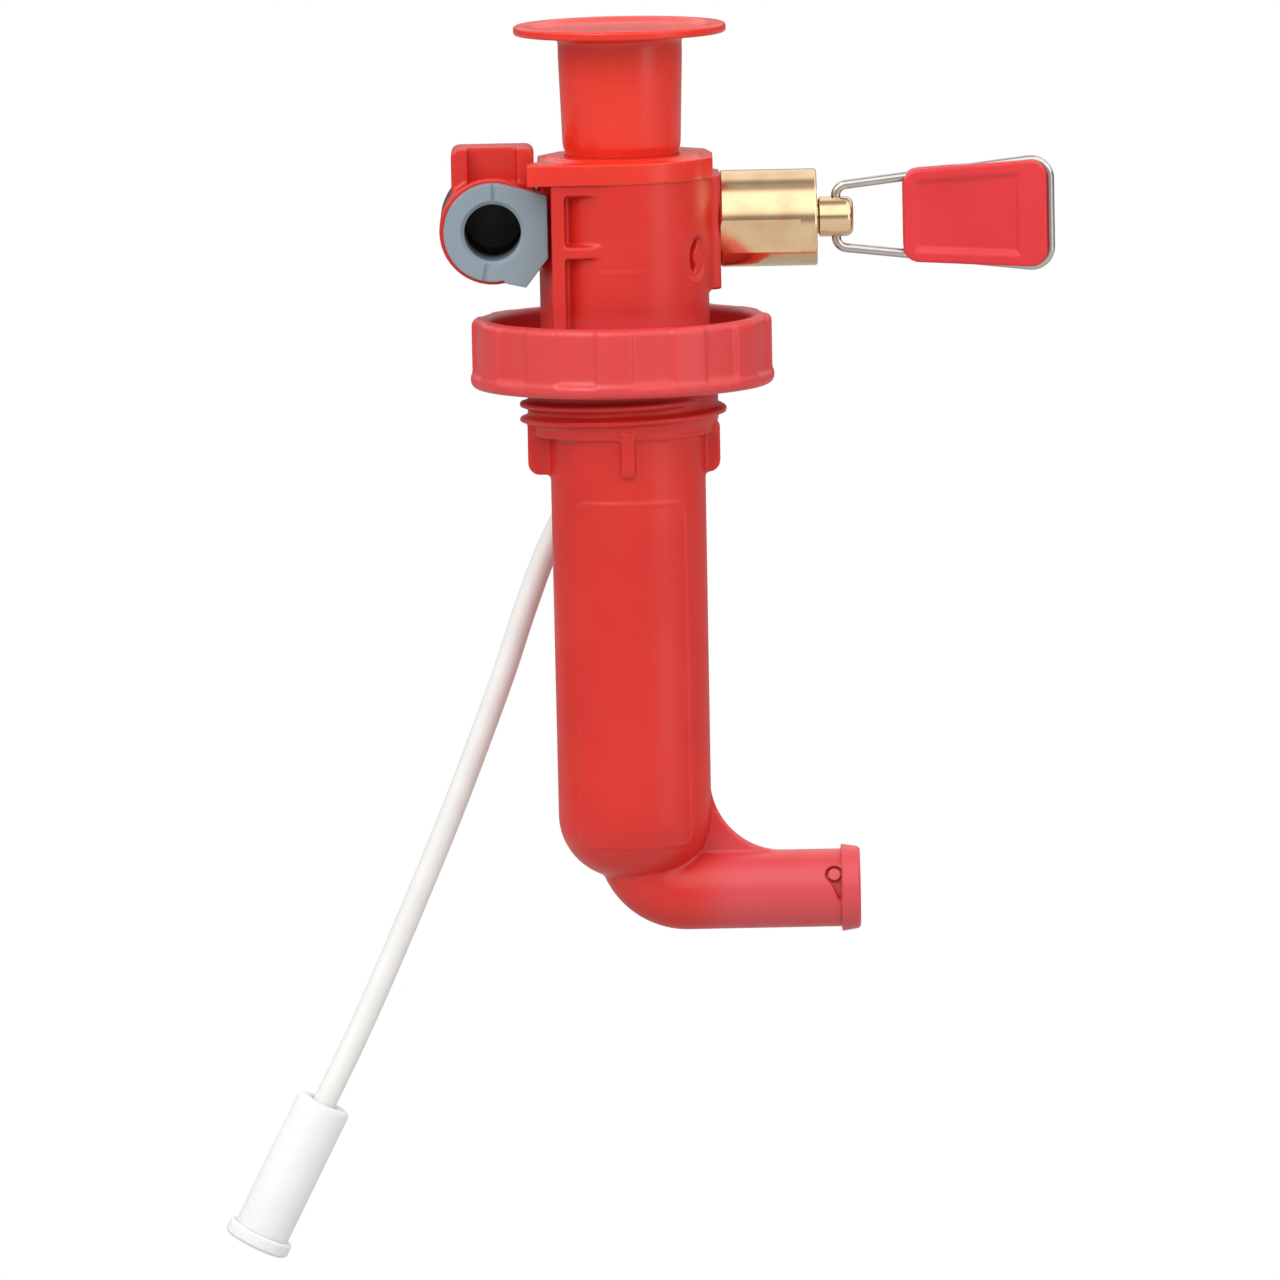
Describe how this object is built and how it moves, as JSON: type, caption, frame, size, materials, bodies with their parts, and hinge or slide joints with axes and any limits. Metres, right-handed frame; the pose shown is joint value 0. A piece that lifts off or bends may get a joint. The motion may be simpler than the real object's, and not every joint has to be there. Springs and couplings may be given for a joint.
{
  "type": "bottle pump",
  "caption": "Hand pump for a liquid-fuel bottle: threaded neck with grip ring, push plunger, brass fuel valve with wire bail, side fuel port, outlet elbow and a filtered suction hose.",
  "frame": {"origin": "on the bottle thread's axis, level with the flat underside of the grip ring that seats on the bottle's mouth", "axes": "+Z along the thread and plunger axes, up to the plunger's button; +X towards the brass fuel valve; -Y towards the side where the stove's fuel line plugs in"},
  "size_m": [0.1171, 0.0418, 0.1706],
  "materials": {
    "red_moulding": "moulded red glass-filled plastic, satin",
    "bright_red_moulding": "moulded orange-red plastic, smooth",
    "red_grip": "moulded red plastic, matt",
    "grey_moulding": "moulded grey plastic, satin",
    "brass": "turned and polished",
    "steel_wire": "drawn stainless wire, bright",
    "black_rubber": "moulded nitrile",
    "cup_leather": "oiled",
    "white_plastic": "moulded white plastic",
    "natural_nylon": "translucent, uncoloured"
  },
  "bodies": {
    "housing": {"pump_body": "red_moulding", "plunger_bushing": "bright_red_moulding", "valve_nut": "brass", "valve_body_oring": "black_rubber", "valve_seat_washer": "natural_nylon", "fuel_tube_bushing": "grey_moulding", "fuel_tube_oring": "black_rubber", "bottle_gasket": "black_rubber", "check_valve_cap": "red_moulding", "check_valve_oring": "black_rubber", "check_spring": "steel_wire", "suction_barb": "brass", "suction_hose": "natural_nylon", "filter_body": "white_plastic", "filter_screen": "natural_nylon", "filter_cap": "white_plastic"},
    "piston": {"pump_cup": "cup_leather"},
    "plunger_rod": {"plunger": "bright_red_moulding", "cup_carrier": "white_plastic", "cup_retainer": "steel_wire"},
    "valve_packing": {"valve_oring": "black_rubber"},
    "spindle": {"valve_spindle": "brass"},
    "handle": {"bail_wire": "steel_wire", "handle_grip": "red_grip"},
    "ball": {"check_ball": "black_rubber"}
  },
  "joints": [
    {"name": "pump_stroke", "type": "slide", "parent": "housing", "child": "piston", "axis": [0, 0, 1], "range_m": [0, 0.07]},
    {"name": "plunger_turn", "type": "hinge", "parent": "piston", "child": "plunger_rod", "pos_m": [0.0005, -0.0015, 0], "axis": [0, 0, 1], "continuous": true},
    {"name": "valve_travel", "type": "slide", "parent": "housing", "child": "valve_packing", "axis": [1, 0, 0], "range_m": [0, 0.0021]},
    {"name": "valve_turn", "type": "hinge", "parent": "valve_packing", "child": "spindle", "pos_m": [0.0298, 0.0045, 0.0222], "axis": [1, 0, 0], "range_deg": [0, 722]},
    {"name": "bail_swing", "type": "hinge", "parent": "spindle", "child": "handle", "pos_m": [0.02975, 0.0045, 0.0222], "axis": [0, 0, 1], "range_deg": [-90, 90]},
    {"name": "ball_lift", "type": "slide", "parent": "housing", "child": "ball", "axis": [1, 0, 0], "range_m": [0, 0.001], "stiffness_N_per_m": 60, "springref_m": -0.002, "deforming": ["check_spring"]}
  ],
  "couplings": [
    {"joint": "valve_turn", "follows": "valve_travel", "rad_per_m": 5984}
  ]
}
